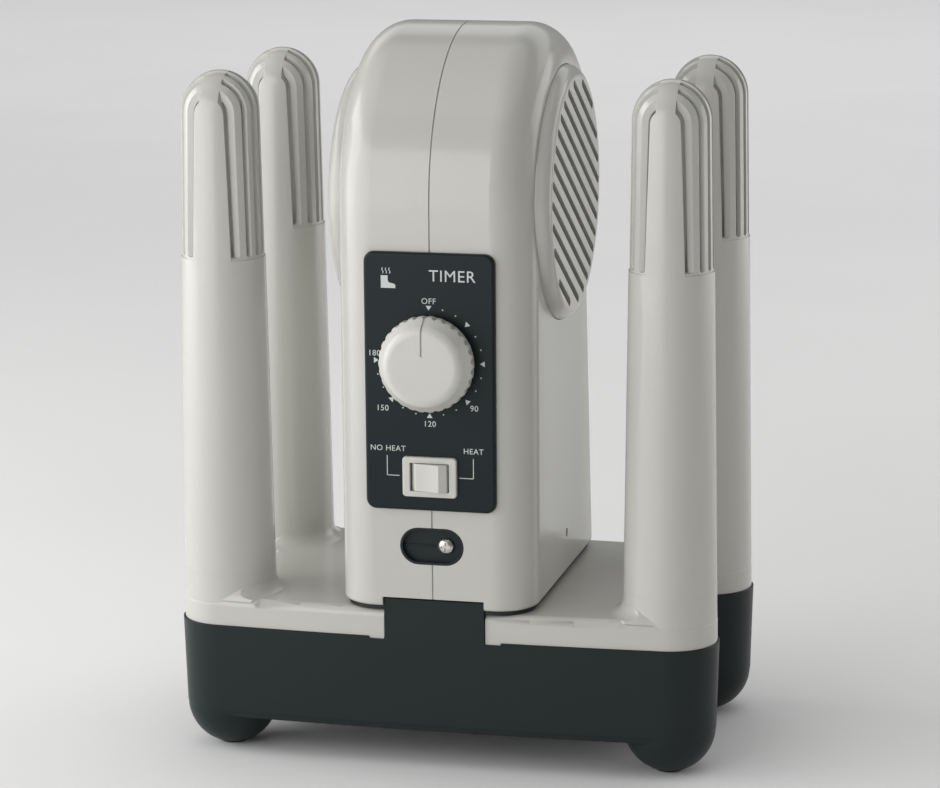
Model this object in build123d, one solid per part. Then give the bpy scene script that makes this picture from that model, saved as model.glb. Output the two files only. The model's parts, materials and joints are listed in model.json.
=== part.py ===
from build123d import *
import os
from math import atan, atan2, cos, degrees, radians, sin, sqrt

# Boot dryer: a fan tower on a hollow base that blows warm air up through four slotted tubes.
# Millimetres. Origin at the bottom centre, on the surface the feet stand on. +Z up, the
# control panel faces -Y, and +X is to the right of a person who faces the panel.
# All heights below are measured from a datum DATUM_Z above that surface.

# ---------------------------------------------------------------- driving dimensions
DATUM_Z = 5.0
TUBE_X = 125.0            # half the spacing of the left and right tubes
TUBE_Y = 59.0             # half the spacing of the front and rear tubes
COLUMN_R = 27.0           # tube and column radius at the seam of base and deck
SEAM_Z = 69.0             # height of the seam of base and deck
FRONT_Y = 89.5            # front of the bowed base wall on the centre line
SIDE_X = 126.5            # recessed side wall between the front and rear columns
SIDE_FILLET = 12.0        # hollow radius from side wall to column
WALL = 3.0                # moulded wall thickness

BASE_BOTTOM_Z = 15.7      # underside of the base tray
FOOT_CENTRE_Z = 20.0      # centre of the half-round foot
FOOT_R = 25.4
FOOT_FLAT_Z = -3.9        # flat cut for the rubber pad
PAD_R = 8.2
PAD_PLUG_R = 3.5

DECK_INSET = 1.1          # the deck wall stands this far inside the base wall
LIP_INSET = 4.25          # the base's register lip stands inside the deck wall
LIP_THICK = 1.5
SEAM_CHAMFER = 0.5        # on the base's proud top edge
DECK_TOP_Z = 84.5
DECK_EDGE_R = 4.5         # rounding of the deck's top edge
COLLAR_TOP_Z = 97.0       # top of the deck's collars, where the tubes plug in
COLLAR_FLARE = 7.5        # hollow radius from deck to collar

TUBE_DOME_Z = 352.8       # centre of the round tube top
TUBE_TOP_R = 22.0         # tube radius there
TUBE_WALL = 2.5
SPIGOT_R = 23.4           # spigot of the tube in the bore of the collar
SPIGOT_LENGTH = 10.0
SLOT_BOTTOM_Z = 274.0
SLOT_WIDTH = 3.2
SLOT_PITCH = 6.25
SLOT_ROWS = 3             # slots each side of the middle one
SLOT_SPINE_X = 5.2        # half the smooth band over the top
FLANK_RECESS = 0.6        # the ribbed flanks sink this much below the tube surface at the sides
FLANK_EASE = 0.2          # makes the sinking start at the edge of the smooth band

TOWER_BOTTOM_Z = 87.0
TOWER_R = 91.0            # round head of the tower, and half its depth at the bottom
TOWER_ROUND_Z = 306.5     # centre height of the round head
TOWER_HALF = 54.7         # half-width
TOWER_EDGE_R = 22.0       # rounding of the long edges
TOWER_FOOT_R = 2.5        # rounding of the bottom edge
REAR_SLOPE = 14 / 143     # the rear wall leans forward from the bottom up
REAR_BLEND_R = 30.0       # hollow blend from the rear wall to the round head
SEAM_GROOVE = 0.35        # half-width of the groove where the tower halves meet
SEAM_DEPTH = 0.7

GASKET_INSET = 2.6        # gasket under the tower, this far inside its outline

TAB_HALF = 28.0           # base tabs that hold the tower front and rear
TAB_INNER_Y = 79.5
TAB_TOP_Z = 92.0
TAB_ROOT = 16.0           # how far the tab reaches down inside the base wall
TAB_GAP = 0.35
LUG_WIDTH = 8.8           # deck lugs that drop into notches of the base beside the tabs
LUG_DROP = 1.2

GRILLE_Y = -5.2
GRILLE_Z = 304.8
GRILLE_R = 70.2
GRILLE_FACE_X = 61.7      # flat face that carries the slots
GRILLE_SHOULDER_R = 7.0   # rounding from the face to the side wall
GRILLE_THICK = 3.2
GRILLE_SEAT_X = 52.3
GRILLE_GAP = 0.3          # clearance of the grille in its seat
INTAKE_R = 64.6           # opening in the tower side behind the grille
LEDGE_R = 75.0            # thick ring round that opening, inside the wall
LOUVRE_R = 61.5
LOUVRE_PITCH = 9.85
LOUVRE_WIDTH = 4.4
LOUVRE_ANGLE = 31.0       # slope of the louvres, down towards the rear

PANEL_HALF = 36.0
PANEL_LOW_Z = 142.4
PANEL_HIGH_Z = 283.4
PANEL_CORNER_R = 5.5
PANEL_RECESS = 1.0        # panel let into the tower wall
PANEL_PROUD = 2.8

DIAL_Z = 224.5
KNOB_RIM_R = 26.0
KNOB_HEIGHT = 17.0
KNOB_FACE_R = 17.0        # flat part of the knob face
KNOB_FLUTES = 30
KNOB_GAP = 0.6            # gap between knob and panel
TIMER_SHAFT_R = 3.0
RUNNING_GAP = 0.05        # radial clearance of every turning shaft

SWITCH_Z = 161.5
SWITCH_W = 30.0
SWITCH_H = 22.0
SWITCH_BEZEL = 2.5
ROCKER_HALF_W = 10.3
ROCKER_HALF_H = 7.5
ROCKER_TILT = 11.0        # each way from the middle
ROCKER_CREST_X = 6.8      # the hollow face runs between two crests
ROCKER_CREST = 4.6        # height of the crests over the pivot
ROCKER_VALLEY = 4.2
ROCKER_END = 1.6

CUP_X = -0.25             # oval screw recess under the panel
CUP_Z = 121.9
CUP_W = 35.5
CUP_H = 20.6
CUP_DEPTH = 3.0
CUP_BACK = 1.4            # thickness of the cup's back and its rim
CLAMP_X = 7.2
SIDE_SCREW_Y = 1.0        # tower screw low on each side
SIDE_SCREW_Z = 110.0

DUCT_HALF_X = 34.0        # inside of the air duct
DUCT_Y0 = 4.0
DUCT_Y1 = 64.0
DUCT_WALL = 2.0
DUCT_TOP_Z = 235.0
BLOWER_Z = TOWER_ROUND_Z
WHEEL_R = 50.0
WHEEL_BLADES = 36
MOTOR_SHAFT_R = 2.5

GLAND_X = 88.0
GLAND_Z = 77.0
GLAND_BORE_R = 3.6        # takes a 7 mm cord
GLAND_INSIDE = 5.2        # part of the gland inside the deck wall
GLAND_FLANGE_R = 8.0

# ---------------------------------------------------------------- worked-out dimensions
PANEL_Y = -TOWER_R - PANEL_PROUD             # front of the panel
PIVOT_Y = PANEL_Y                            # pivot of the rocker
GLAND_END_Y = KNOB_HEIGHT - PANEL_Y          # the gland reaches as far back as the knob does forward
bow_rise = FRONT_Y - COLUMN_R
BOW_CENTRE_Y = (TUBE_X ** 2 / (bow_rise - TUBE_Y) - (bow_rise + TUBE_Y)) / 2
BOW_R = BOW_CENTRE_Y + FRONT_Y
DECK_COLUMN_R = COLUMN_R - DECK_INSET
TAPER = (DECK_COLUMN_R - TUBE_TOP_R) / (TUBE_DOME_Z - SEAM_Z)
GLAND_SEAT_Y = sqrt(BOW_R ** 2 - (GLAND_X - GLAND_FLANGE_R) ** 2) - BOW_CENTRE_Y - DECK_INSET
GLAND_START_Y = GLAND_SEAT_Y - GLAND_INSIDE
CORNERS = [(sx * TUBE_X, sy * TUBE_Y) for sx in (-1, 1) for sy in (-1, 1)]
SCREW_SPOTS = [(-86, -60), (0, -72), (86, -60), (-86, 60), (0, 72), (86, 60)]
PLATE_SPOTS = [(-43, -60), (43, -60), (-43, 76), (43, 76)]


def tube_radius(z):
    return DECK_COLUMN_R - TAPER * (z - SEAM_Z)


def block(x0, x1, y0, y1, z0, z1):
    return Pos((x0 + x1) / 2, (y0 + y1) / 2, (z0 + z1) / 2) * Box(x1 - x0, y1 - y0, z1 - z0)


def rod(radius, start, end):
    """Round rod along one axis from start to end."""
    a, b = Vector(*start), Vector(*end)
    return Solid.extrude(Face(Wire.make_circle(radius, Plane(a, z_dir=b - a))), b - a)


def lathe(points):
    """Turn a closed profile of (radius, height) points about Z; a 3-long entry is an arc's middle."""
    edges = []
    last = points[0]
    k = 1
    loop = points + [points[0]]
    while k < len(loop):
        if len(loop[k]) == 3:
            mid = loop[k]
            edges.append(ThreePointArc((last[0], 0, last[1]), (mid[0], 0, mid[1]),
                                       (loop[k + 1][0], 0, loop[k + 1][1])))
            k += 1
        else:
            edges.append(Line((last[0], 0, last[1]), (loop[k][0], 0, loop[k][1])))
        last = loop[k]
        k += 1
    return revolve(make_face(edges), Axis.Z)


FACING_FRONT = Rot(90, 0, 0)      # local Z to -Y, local Y to +Z
FACING_RIGHT = Rot(0, 90, 0)      # local Z to +X, local X to -Z


def slab(width, height, depth, corner):
    """Rounded plate, centred in XY, from z = 0 up to depth."""
    return extrude(RectangleRounded(width, height, corner), depth)


# ---------------------------------------------------------------- plan of base and deck
def plan_face(inset, z):
    """Four round columns joined by bowed front and rear walls and recessed side walls."""
    reach = sqrt(TUBE_X ** 2 + (BOW_CENTRE_Y + TUBE_Y) ** 2)
    bow = Vector(TUBE_X / reach, (BOW_CENTRE_Y + TUBE_Y) / reach)
    hollow_x = SIDE_X + SIDE_FILLET
    span = COLUMN_R + SIDE_FILLET
    hollow_y = TUBE_Y - sqrt(span ** 2 - (hollow_x - TUBE_X) ** 2)
    column_r = COLUMN_R - inset
    hollow_r = SIDE_FILLET + inset
    a_bow = degrees(atan2(bow.Y, bow.X))
    a_side = degrees(atan2(hollow_y - TUBE_Y, hollow_x - TUBE_X))
    a_mid = (a_bow + a_side) / 2
    a_hollow = (a_side + 180 + 180) / 2
    edges = []
    for sx in (-1, 1):
        for sy in (-1, 1):
            def column(angle):
                a = radians(angle)
                return (sx * (TUBE_X + column_r * cos(a)), sy * (TUBE_Y + column_r * sin(a)), z)

            def hollow(angle):
                a = radians(angle)
                return (sx * (hollow_x + hollow_r * cos(a)), sy * (hollow_y + hollow_r * sin(a)), z)

            edges.append(ThreePointArc(column(a_bow), column(a_mid), column(a_side)))
            edges.append(ThreePointArc(hollow(a_side + 180), hollow(a_hollow), hollow(180)))
        edges.append(Line((sx * (SIDE_X - inset), -hollow_y, z), (sx * (SIDE_X - inset), hollow_y, z)))
    tangent = (TUBE_X + column_r * bow.X, TUBE_Y + column_r * bow.Y)
    for sy in (-1, 1):
        edges.append(ThreePointArc((-tangent[0], sy * tangent[1], z), (0, sy * (FRONT_Y - inset), z),
                                   (tangent[0], sy * tangent[1], z)))
    return make_face(edges)


def plan_loft(levels):
    """Stack of plan outlines, each (height, inset), joined by straight-sided walls."""
    return loft([plan_face(inset, z) for z, inset in levels], ruled=True)


def plan_prism(inset, z0, z1):
    return extrude(plan_face(inset, z0), z1 - z0)


def tab_block(sy, gap, top):
    """Space of the front or rear tab, grown by gap."""
    half = TAB_HALF + gap
    ys = sorted((sy * (TAB_INNER_Y - gap), sy * (TOWER_R + 5)))
    return block(-half, half, ys[0], ys[1], SEAM_Z - 4, top + gap)


def deck_lugs(outer, grow):
    """Short lugs of the deck wall beside the tabs; outer is the inset of their front faces."""
    low = SEAM_Z - LUG_DROP - grow
    ring = plan_prism(outer, low, SEAM_Z + 1) - plan_prism(WALL, low - 1, SEAM_Z + 2)
    lugs = []
    for sx in (-1, 1):
        for sy in (-1, 1):
            xs = sorted((sx * (TAB_HALF + TAB_GAP - grow), sx * (TAB_HALF + TAB_GAP + LUG_WIDTH + grow)))
            ys = sorted((sy * 80, sy * 95))
            lugs.append(ring & block(xs[0], xs[1], ys[0], ys[1], low, SEAM_Z + 1))
    return lugs


# ---------------------------------------------------------------- base
def make_base_shell():
    body = plan_loft([(BASE_BOTTOM_Z, 3.8), (18.2, 2.0), (FOOT_CENTRE_Z, 1.4), (SEAM_Z - SEAM_CHAMFER, 0.0),
                      (SEAM_Z, SEAM_CHAMFER)])
    foot = Sphere(FOOT_R) & Pos(0, 0, (FOOT_FLAT_Z - FOOT_CENTRE_Z) / 2 + 2) * Cylinder(
        FOOT_R + 1, FOOT_CENTRE_Z - FOOT_FLAT_Z + 4)
    for x, y in CORNERS:
        body += Pos(x, y, FOOT_CENTRE_Z) * foot
    body -= plan_loft([(BASE_BOTTOM_Z + WALL, 6.8), (24.0, 4.6), (SEAM_Z + 1, WALL)])
    well_r = FOOT_R - WALL
    well = Sphere(well_r) & Pos(0, 0, -well_r / 2) * Cylinder(well_r + 1, well_r)
    well &= Pos(0, 0, (FOOT_FLAT_Z - FOOT_CENTRE_Z + WALL) / 2) * Cylinder(
        well_r + 1, FOOT_CENTRE_Z - FOOT_FLAT_Z - WALL)
    well += Cylinder(21.5, 10, align=(Align.CENTER, Align.CENTER, Align.MIN))
    for x, y in CORNERS:
        body -= Pos(x, y, FOOT_CENTRE_Z) * well
        body -= Pos(x, y, FOOT_FLAT_Z) * Cylinder(PAD_PLUG_R, 14)
    # register lip inside the deck wall
    lip_inner = LIP_INSET + LIP_THICK
    body += plan_prism(2.0, SEAM_Z - 7, SEAM_Z - SEAM_CHAMFER) - plan_prism(lip_inner, SEAM_Z - 8, SEAM_Z + 1)
    body += plan_prism(LIP_INSET, SEAM_Z - 5, SEAM_Z + 4) - plan_prism(lip_inner, SEAM_Z - 8, SEAM_Z + 5)
    body -= rod(5.6, (GLAND_X, 70, GLAND_Z), (GLAND_X, 100, GLAND_Z))
    # screw pillars with counterbores from below
    for x, y in SCREW_SPOTS:
        body += Pos(x, y, 20.5) * Cylinder(7, 8)
        body -= Pos(x, y, 16) * Cylinder(4.6, 8)
        body -= Pos(x, y, 22) * Cylinder(2.1, 8)
    # tabs that key the tower, flush with the base wall and lightly chamfered on top
    for sy in (-1, 1):
        ys = sorted((sy * TAB_INNER_Y, sy * (TOWER_R + 5)))
        root = block(-TAB_HALF, TAB_HALF, ys[0], ys[1], SEAM_Z - TAB_ROOT, SEAM_Z)
        head = block(-TAB_HALF, TAB_HALF, ys[0], ys[1], SEAM_Z - SEAM_CHAMFER, TAB_TOP_Z)
        tab = (root & plan_prism(1.0, SEAM_Z - TAB_ROOT, SEAM_Z))
        tab += head & plan_loft([(SEAM_Z - SEAM_CHAMFER, 0.0), (TAB_TOP_Z - 1, 0.0), (TAB_TOP_Z, 1.0)])
        body -= block(-TAB_HALF - 1, TAB_HALF + 1, *sorted((sy * 80.5, sy * 86.6)), SEAM_Z - 8, SEAM_Z + 5)
        body += tab
    for notch in deck_lugs(-1.0, 0.05):
        body -= notch
    # pillars for the cord clamp
    for dx in (-9, 9):
        body += Pos(GLAND_X + dx, 74, (BASE_BOTTOM_Z + 60) / 2) * Box(6, 6, 60 - BASE_BOTTOM_Z)
        body -= Pos(GLAND_X + dx, 74, 54) * Cylinder(1.25, 14)
    return body


def make_rubber_feet():
    low = FOOT_FLAT_Z - 1.1
    pad = lathe([(0, low), (PAD_R - 0.8, low), (PAD_R, low + 0.8), (PAD_R, FOOT_FLAT_Z),
                 (PAD_PLUG_R, FOOT_FLAT_Z), (PAD_PLUG_R, FOOT_FLAT_Z + 6), (0, FOOT_FLAT_Z + 6)])
    return [Pos(x, y) * pad for x, y in CORNERS]


# ---------------------------------------------------------------- deck
def make_deck():
    body = plan_prism(DECK_INSET, SEAM_Z, DECK_TOP_Z)
    body = fillet(body.faces().sort_by(Axis.Z)[-1].edges(), DECK_EDGE_R)
    limit = plan_prism(DECK_INSET, SEAM_Z, DECK_TOP_Z + COLLAR_FLARE)
    limit = fillet(limit.faces().sort_by(Axis.Z)[-1].edges(), DECK_EDGE_R + COLLAR_FLARE)
    top_r = tube_radius(COLLAR_TOP_Z)
    reach = tube_radius(DECK_TOP_Z) + COLLAR_FLARE
    corner = COLLAR_FLARE * (1 - sqrt(0.5))
    flare = lathe([(0, DECK_TOP_Z - 1.5), (reach, DECK_TOP_Z - 1.5), (reach, DECK_TOP_Z),
                   (reach - COLLAR_FLARE + corner, DECK_TOP_Z + corner, "arc"),
                   (reach - COLLAR_FLARE, DECK_TOP_Z + COLLAR_FLARE), (0, DECK_TOP_Z + COLLAR_FLARE)])
    root = DECK_TOP_Z - 5
    collar = lathe([(0, root), (tube_radius(root), root), (top_r, COLLAR_TOP_Z), (0, COLLAR_TOP_Z)])
    for x, y in CORNERS:
        body += (Pos(x, y) * flare) & limit
        body += Pos(x, y) * collar
    body -= plan_prism(WALL + DECK_INSET, SEAM_Z - 1, DECK_TOP_Z - WALL)
    for x, y in CORNERS:
        body -= Pos(x, y, (SEAM_Z + COLLAR_TOP_Z) / 2) * Cylinder(SPIGOT_R - 2.4, COLLAR_TOP_Z - SEAM_Z + 2)
        seat = COLLAR_TOP_Z - SPIGOT_LENGTH
        body -= Pos(x, y, seat + 10) * Cylinder(SPIGOT_R, 20)
    for x, y in SCREW_SPOTS:
        low = 24.5
        body += Pos(x, y, (low + DECK_TOP_Z - 1) / 2) * Cylinder(5, DECK_TOP_Z - 1 - low)
        body -= Pos(x, y, low + 7) * Cylinder(1.75, 14)
    body -= block(-DUCT_HALF_X, DUCT_HALF_X, DUCT_Y0, DUCT_Y1, 60, 100)
    for x, y in PLATE_SPOTS:
        body -= Pos(x, y, DECK_TOP_Z) * Cylinder(2.1, 20)
    for sy in (-1, 1):
        body -= tab_block(sy, TAB_GAP, 200)
    for lug in deck_lugs(DECK_INSET, 0):
        body += lug
    body -= rod(5.5, (GLAND_X, 70, GLAND_Z), (GLAND_X, 100, GLAND_Z))
    return body


def make_deck_screws():
    screws = []
    for x, y in SCREW_SPOTS:
        screw = lathe([(0, 17.6), (2.6, 17.6), (4.0, 18.6), (4.0, 20.0), (1.75, 20.0), (1.75, 36), (0, 37.5)])
        screw -= Pos(0, 0, 17.6) * (Box(4.2, 0.9, 2.4) + Box(0.9, 4.2, 2.4))
        screws.append(Pos(x, y) * screw)
    return screws


def make_cord_gland():
    end = GLAND_END_Y - GLAND_START_Y
    collar = GLAND_INSIDE
    body = lathe([(GLAND_BORE_R, 0), (5.5, 0), (5.5, collar), (GLAND_FLANGE_R, collar),
                  (GLAND_FLANGE_R, collar + 2.4),
                  (6.6, collar + 4), (5.4, end), (GLAND_BORE_R, end)])
    for k in range(4):
        body -= Pos(0, 0, collar + 6.6 + 3.6 * k) * (Cylinder(9, 1.3) - Cylinder(5.0, 1.3))
    return Pos(GLAND_X, GLAND_START_Y, GLAND_Z) * Rot(-90, 0, 0) * body


def make_cord_clamp():
    bar = block(GLAND_X - 13, GLAND_X + 13, 70.5, 77.5, 60, 63)
    bar += block(GLAND_X - 4.5, GLAND_X + 4.5, 70.5, 77.5, 63, 66)
    for dx in (-9, 9):
        bar += rod(2.6, (GLAND_X + dx, 74, 63), (GLAND_X + dx, 74, 64.8))
        bar += rod(1.25, (GLAND_X + dx, 74, 48), (GLAND_X + dx, 74, 60))
    return bar


def make_terminal_block():
    body = block(48, 78, 30, 44, BASE_BOTTOM_Z + WALL, 33)
    for k in range(3):
        x = 53 + 10 * k
        body -= rod(2.0, (x, 29, 27), (x, 45, 27))
        body -= rod(1.8, (x, 37, 28), (x, 37, 34))
    return body


# ---------------------------------------------------------------- drying tubes
def make_tube():
    z0 = COLLAR_TOP_Z
    r0 = tube_radius(z0)
    inner_top = TUBE_TOP_R - TUBE_WALL
    diag = sqrt(0.5)
    body = lathe([(SPIGOT_R - 2.4, z0 - SPIGOT_LENGTH), (SPIGOT_R, z0 - SPIGOT_LENGTH), (SPIGOT_R, z0),
                  (r0, z0), (TUBE_TOP_R, TUBE_DOME_Z),
                  (TUBE_TOP_R * diag, TUBE_DOME_Z + TUBE_TOP_R * diag, "arc"), (0, TUBE_DOME_Z + TUBE_TOP_R),
                  (0, TUBE_DOME_Z + inner_top),
                  (inner_top * diag, TUBE_DOME_Z + inner_top * diag, "arc"), (inner_top, TUBE_DOME_Z),
                  (r0 - TUBE_WALL, z0 + 4)])
    # the ribbed flanks sink gently below the tube surface towards the sides
    around = lathe([(0, 200), (60, 200), (60, 400), (0, 400)])
    low = 199
    core_low = tube_radius(low) + FLANK_EASE
    core_top = TUBE_TOP_R + FLANK_EASE
    core = lathe([(0, low), (core_low, low), (core_top, TUBE_DOME_Z),
                  (core_top * diag, TUBE_DOME_Z + core_top * diag, "arc"), (0, TUBE_DOME_Z + core_top)])
    half_y = SLOT_PITCH * SLOT_ROWS + SLOT_WIDTH / 2
    half = SLOT_WIDTH / 2
    for sx in (-1, 1):
        xs = sorted((sx * SLOT_SPINE_X, sx * 40))
        skin = around - Pos(-sx * (FLANK_EASE + FLANK_RECESS), 0, 0) * core
        body -= skin & block(xs[0], xs[1], -half_y, half_y, SLOT_BOTTOM_Z - 1.2, 390)
        for k in range(-SLOT_ROWS, SLOT_ROWS + 1):
            y = SLOT_PITCH * k
            body -= block(xs[0], xs[1], y - half, y + half, SLOT_BOTTOM_Z + half, 390)
            body -= rod(half, (xs[0], y, SLOT_BOTTOM_Z + half), (xs[1], y, SLOT_BOTTOM_Z + half))
    return body


# ---------------------------------------------------------------- tower
def tower_solid(inset):
    """The tower's shape moved inwards by inset; the inner shapes are open at the bottom."""
    low = TOWER_BOTTOM_Z - (5 if inset else 0)
    r = TOWER_R - inset
    half = TOWER_HALF - inset
    # the leaning rear wall as a line (direction and outward normal in YZ), and where it meets the head
    lean = atan(REAR_SLOPE)
    along = Vector(0, -sin(lean), cos(lean))
    out = Vector(0, cos(lean), sin(lean))
    centre = Vector(0, 0, TOWER_ROUND_Z)
    foot = Vector(0, TOWER_R, TOWER_BOTTOM_Z) - out * inset
    reach = (foot - centre).dot(out)
    corner = centre + out * reach - along * sqrt(r ** 2 - reach ** 2)
    start = corner - along * ((corner.Z - low) / along.Z)
    mid = radians((degrees(atan2(corner.Z - TOWER_ROUND_Z, corner.Y)) + 180) / 2)
    crown = (0, r * cos(mid), TOWER_ROUND_Z + r * sin(mid))
    front_top = (0, -r, TOWER_ROUND_Z)
    side = make_face([Line((0, -r, low), start), Line(start, corner), ThreePointArc(corner, crown, front_top),
                      Line(front_top, (0, -r, low))])
    body = extrude(side, half, both=True)
    hollow = body.edges().filter_by(Axis.X).filter_by(lambda e: (e.center() - corner).length < 1)
    body = fillet(hollow, REAR_BLEND_R + inset)
    long_edges = body.edges().filter_by(lambda e: abs(e.center().X) > half - 0.1 and e.center().Z > low + 1)
    return fillet(long_edges, TOWER_EDGE_R - inset)


def make_tower():
    outer = tower_solid(0)
    lower = outer.edges().filter_by(lambda e: e.center().Z < TOWER_BOTTOM_Z + 0.01)
    body = fillet(lower, TOWER_FOOT_R)
    body -= block(-SEAM_GROOVE, SEAM_GROOVE, -120, 120, 60, 420) - tower_solid(SEAM_DEPTH)
    body -= tower_solid(WALL)
    for sx in (-1, 1):
        # seat and opening of the intake grille
        seat = (sx * GRILLE_SEAT_X, GRILLE_Y, GRILLE_Z)
        far = (sx * 70, GRILLE_Y, GRILLE_Z)
        body -= rod(GRILLE_R + GRILLE_GAP, seat, far)
        body -= rod(INTAKE_R, (sx * 30, GRILLE_Y, GRILLE_Z), far)
        ledge = rod(LEDGE_R, (sx * 48, GRILLE_Y, GRILLE_Z), seat)
        ledge -= rod(INTAKE_R, (sx * 44, GRILLE_Y, GRILLE_Z), far)
        body += ledge & tower_solid(WALL / 2)
        # side screw recess
        body -= rod(2.6, (sx * 53.2, SIDE_SCREW_Y, SIDE_SCREW_Z), (sx * 60, SIDE_SCREW_Y, SIDE_SCREW_Z))
        body -= rod(1.8, (sx * 50, SIDE_SCREW_Y, SIDE_SCREW_Z), (sx * 60, SIDE_SCREW_Y, SIDE_SCREW_Z))
    # let-in for the control panel and the openings behind it
    mid_z = (PANEL_LOW_Z + PANEL_HIGH_Z) / 2
    pocket = Pos(0, -TOWER_R + PANEL_RECESS, mid_z) * FACING_FRONT * slab(
        2 * PANEL_HALF, PANEL_HIGH_Z - PANEL_LOW_Z, 10, PANEL_CORNER_R)
    body -= pocket
    body -= rod(5.3, (0, -80, DIAL_Z), (0, -100, DIAL_Z))
    for sx in (-1, 1):
        body -= rod(1.6, (sx * 14, -80, DIAL_Z), (sx * 14, -100, DIAL_Z))
    body -= block(-13.6, 13.6, -100, -80, SWITCH_Z - 9.6, SWITCH_Z + 9.6)
    body -= Pos(CUP_X, -80, CUP_Z) * FACING_FRONT * extrude(SlotOverall(CUP_W, CUP_H), 20)
    for sy in (-1, 1):
        body -= tab_block(sy, TAB_GAP, TAB_TOP_Z)
    left = body & block(-100, 0, -120, 120, 60, 420)
    right = body & block(0, 100, -120, 120, 60, 420)
    return left, right


def make_grille():
    """Right-hand intake grille: a flat disc with a rounded plain rim and slanting slots."""
    seat = GRILLE_SEAT_X
    face = GRILLE_FACE_X
    inner = face - GRILLE_THICK
    shoulder = GRILLE_R - GRILLE_SHOULDER_R
    bulge = GRILLE_SHOULDER_R * sqrt(0.5)
    throat = INTAKE_R + 0.2
    body = lathe([(0, face), (shoulder, face), (shoulder + bulge, face - GRILLE_SHOULDER_R + bulge, "arc"),
                  (GRILLE_R, face - GRILLE_SHOULDER_R), (GRILLE_R, seat), (throat, seat),
                  (throat, inner - 2.0), (throat - 2.0, inner), (0, inner)])
    count = int(LOUVRE_R // LOUVRE_PITCH)
    for k in range(-count, count + 1):
        offset = k * LOUVRE_PITCH
        length = 2 * sqrt(LOUVRE_R ** 2 - offset ** 2)
        cut = extrude(SlotOverall(length, LOUVRE_WIDTH), 30)
        body -= Pos(0, 0, 43) * Rot(0, 0, 90 - LOUVRE_ANGLE) * Pos(0, offset, 0) * cut
    return Pos(0, GRILLE_Y, GRILLE_Z) * FACING_RIGHT * body


def make_tower_gasket():
    half = TOWER_HALF - GASKET_INSET
    deep = TOWER_R - GASKET_INSET
    corner = TOWER_EDGE_R - GASKET_INSET
    ring = slab(2 * half, 2 * deep, TOWER_BOTTOM_Z - DECK_TOP_Z, corner)
    ring -= slab(2 * half - 10, 2 * deep - 10, 5, corner - 5)
    ring = Pos(0, 0, DECK_TOP_Z) * ring
    for sy in (-1, 1):
        ring -= tab_block(sy, TAB_GAP, 200)
    mid_y = (DUCT_Y0 + DUCT_Y1) / 2
    throat = slab(2 * DUCT_HALF_X + 10, DUCT_Y1 - DUCT_Y0 + 10, TOWER_BOTTOM_Z - DECK_TOP_Z, 4)
    throat -= slab(2 * DUCT_HALF_X, DUCT_Y1 - DUCT_Y0, 5, 1)
    return [ring, Pos(0, mid_y, DECK_TOP_Z) * throat]


def make_tower_base_plate():
    z0, z1 = TOWER_BOTTOM_Z, TOWER_BOTTOM_Z + WALL
    half = TOWER_HALF - WALL - 0.3
    deep = TOWER_R - WALL - 0.5
    body = Pos(0, 0, z0) * slab(2 * half, 2 * deep, WALL, TOWER_EDGE_R - WALL)
    body -= block(-DUCT_HALF_X, DUCT_HALF_X, DUCT_Y0, DUCT_Y1, z0 - 1, z1 + 1)
    lug_half = 6
    body += block(CLAMP_X - lug_half, CLAMP_X + lug_half, -86.4, -74, z1, CUP_Z + 9)
    for x, y in PLATE_SPOTS:
        body += rod(5, (x, y, z1), (x, y, z1 + 10))
        body -= rod(1.75, (x, y, z0 - 1), (x, y, z1 + 9))
    for sx in (-1, 1):
        xs = sorted((sx * 42, sx * half))
        body += block(xs[0], xs[1], SIDE_SCREW_Y - 7, SIDE_SCREW_Y + 7, z1, SIDE_SCREW_Z + 7)
        body -= rod(1.6, (sx * 41, SIDE_SCREW_Y, SIDE_SCREW_Z), (sx * 60, SIDE_SCREW_Y, SIDE_SCREW_Z))
    body -= rod(2.0, (CLAMP_X, -90, CUP_Z), (CLAMP_X, -70, CUP_Z))
    for sy in (-1, 1):
        body -= tab_block(sy, TAB_GAP, TAB_TOP_Z)
    return body


def make_plate_screws():
    screws = []
    low = DECK_TOP_Z - WALL
    for x, y in PLATE_SPOTS:
        screw = lathe([(0, low - 2.4), (2.6, low - 2.4), (4.0, low - 1.4), (4.0, low), (1.75, low),
                       (1.75, low + 14), (0, low + 15)])
        screws.append(Pos(x, y) * screw)
    return screws


def make_tower_screws():
    """Small pan-head screws low on the tower sides; local Z points out of the tower."""
    screws = []
    for sx in (-1, 1):
        screw = lathe([(0, 0), (1.0, 0), (1.6, 1.2), (1.6, 9.7), (2.3, 9.7), (2.3, 10.3), (1.4, 10.9),
                       (0, 10.9)])
        screw -= Pos(0, 0, 10.9) * (Box(2.8, 0.6, 1.2) + Box(0.6, 2.8, 1.2))
        turn = FACING_RIGHT if sx > 0 else Rot(0, -90, 0)
        screws.append(Pos(sx * 43.5, SIDE_SCREW_Y, SIDE_SCREW_Z) * turn * screw)
    return screws


def make_recess_cup():
    shape = extrude(SlotOverall(CUP_W - 0.2, CUP_H - 0.2), CUP_DEPTH + CUP_BACK)
    inside = extrude(SlotOverall(CUP_W - 2 * CUP_BACK, CUP_H - 2 * CUP_BACK), CUP_DEPTH + 2)
    shape -= Pos(0, 0, CUP_BACK) * inside
    shape += Pos(-7.6, 0, CUP_BACK + 0.3) * Box(17, 0.9, 0.6)
    shape -= Pos(CLAMP_X - CUP_X, 0, 0) * Cylinder(2.2, 10)
    back = -TOWER_R + CUP_DEPTH + CUP_BACK
    return Pos(CUP_X, back, CUP_Z) * FACING_FRONT * shape


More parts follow.
